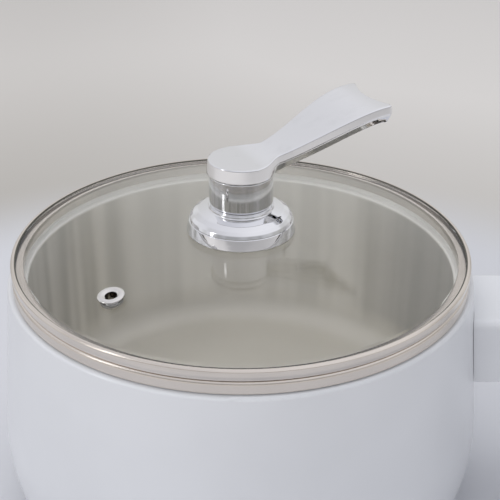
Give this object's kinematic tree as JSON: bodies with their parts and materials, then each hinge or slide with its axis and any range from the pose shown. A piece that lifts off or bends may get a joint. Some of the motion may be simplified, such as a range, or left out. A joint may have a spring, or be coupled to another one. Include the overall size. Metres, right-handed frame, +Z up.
{
  "type": "electric hot pot with lid",
  "caption": "Countertop electric hot pot: a stepped steel pot in a drum-shaped shell with one block handle, a power dial and a lift-off glass lid with a stand-up knob.",
  "frame": {"origin": "on the table, on the pot's own axis, at the middle of the foot ring", "axes": "+Z up along the pot's axis, +X along the handle, -Y to the front with the power dial"},
  "size_m": [0.3536, 0.2591, 0.202],
  "materials": {
    "stainless_brushed": "brushed",
    "silicone_white": "matt silicone",
    "white_gloss": "high gloss white with a cool tint",
    "grey_matte": "fine spark texture",
    "steel_plain": "plain zinc plated",
    "rubber_grey": "matt rubber",
    "cast_aluminium": "cast, matt",
    "black_matte": "matt phenolic",
    "silver_gloss": "metallised silver",
    "brass_plain": "plain turned brass",
    "amber_lens": "clear amber",
    "lamp_glass": "clear",
    "lead_brown": "matt sleeve",
    "lead_white": "glass fibre sleeve",
    "lead_blue": "matt sleeve",
    "lead_green": "matt sleeve",
    "clear_glass": "clear tempered",
    "chrome_plate": "mirror chrome plate"
  },
  "bodies": {
    "pot": {"inner_pot": "stainless_brushed", "rim_seal": "silicone_white", "outer_shell": "white_gloss", "base_cover": "grey_matte", "base_screws": "steel_plain", "foot_ring": "rubber_grey", "heating_plate": "cast_aluminium", "heating_element": "steel_plain", "heat_shield": "cast_aluminium", "tie_posts": "steel_plain", "shield_nuts": "steel_plain", "tie_screws": "steel_plain", "thermostat": "black_matte", "thermostat_bracket": "steel_plain", "bracket_screws": "steel_plain", "thermal_fuse": "black_matte", "fuse_clip": "steel_plain", "control_bezel": "silver_gloss", "rotary_switch": "black_matte", "switch_nut": "brass_plain", "indicator_lens": "amber_lens", "indicator_lamp": "lamp_glass", "power_inlet": "grey_matte", "inlet_pins": "brass_plain", "live_lead": "lead_brown", "element_lead": "lead_white", "neutral_lead": "lead_blue", "link_leads": "lead_white", "earth_lead": "lead_green", "handle_shell": "white_gloss", "handle_cover": "white_gloss", "cover_screws": "steel_plain", "handle_plate": "steel_plain", "handle_screws": "steel_plain"},
    "lid": {"glass_lid": "clear_glass", "lid_rim": "stainless_brushed", "vent_eyelet": "chrome_plate", "vent_washer": "steel_plain", "knob_base": "chrome_plate", "knob_gasket": "silicone_white", "knob_stem": "chrome_plate", "knob_arm": "chrome_plate", "knob_washer": "steel_plain", "knob_screw": "steel_plain"},
    "dial": {"control_knob": "white_gloss", "switch_shaft": "brass_plain"}
  },
  "joints": [
    {"name": "lid_lift", "type": "slide", "parent": "pot", "child": "lid", "axis": [0, 0, 1], "range_m": [0, 0.2]},
    {"name": "dial_turn", "type": "hinge", "parent": "pot", "child": "dial", "pos_m": [0, -0.13, 0.038], "axis": [0, 1, 0], "range_deg": [0, 135]}
  ]
}
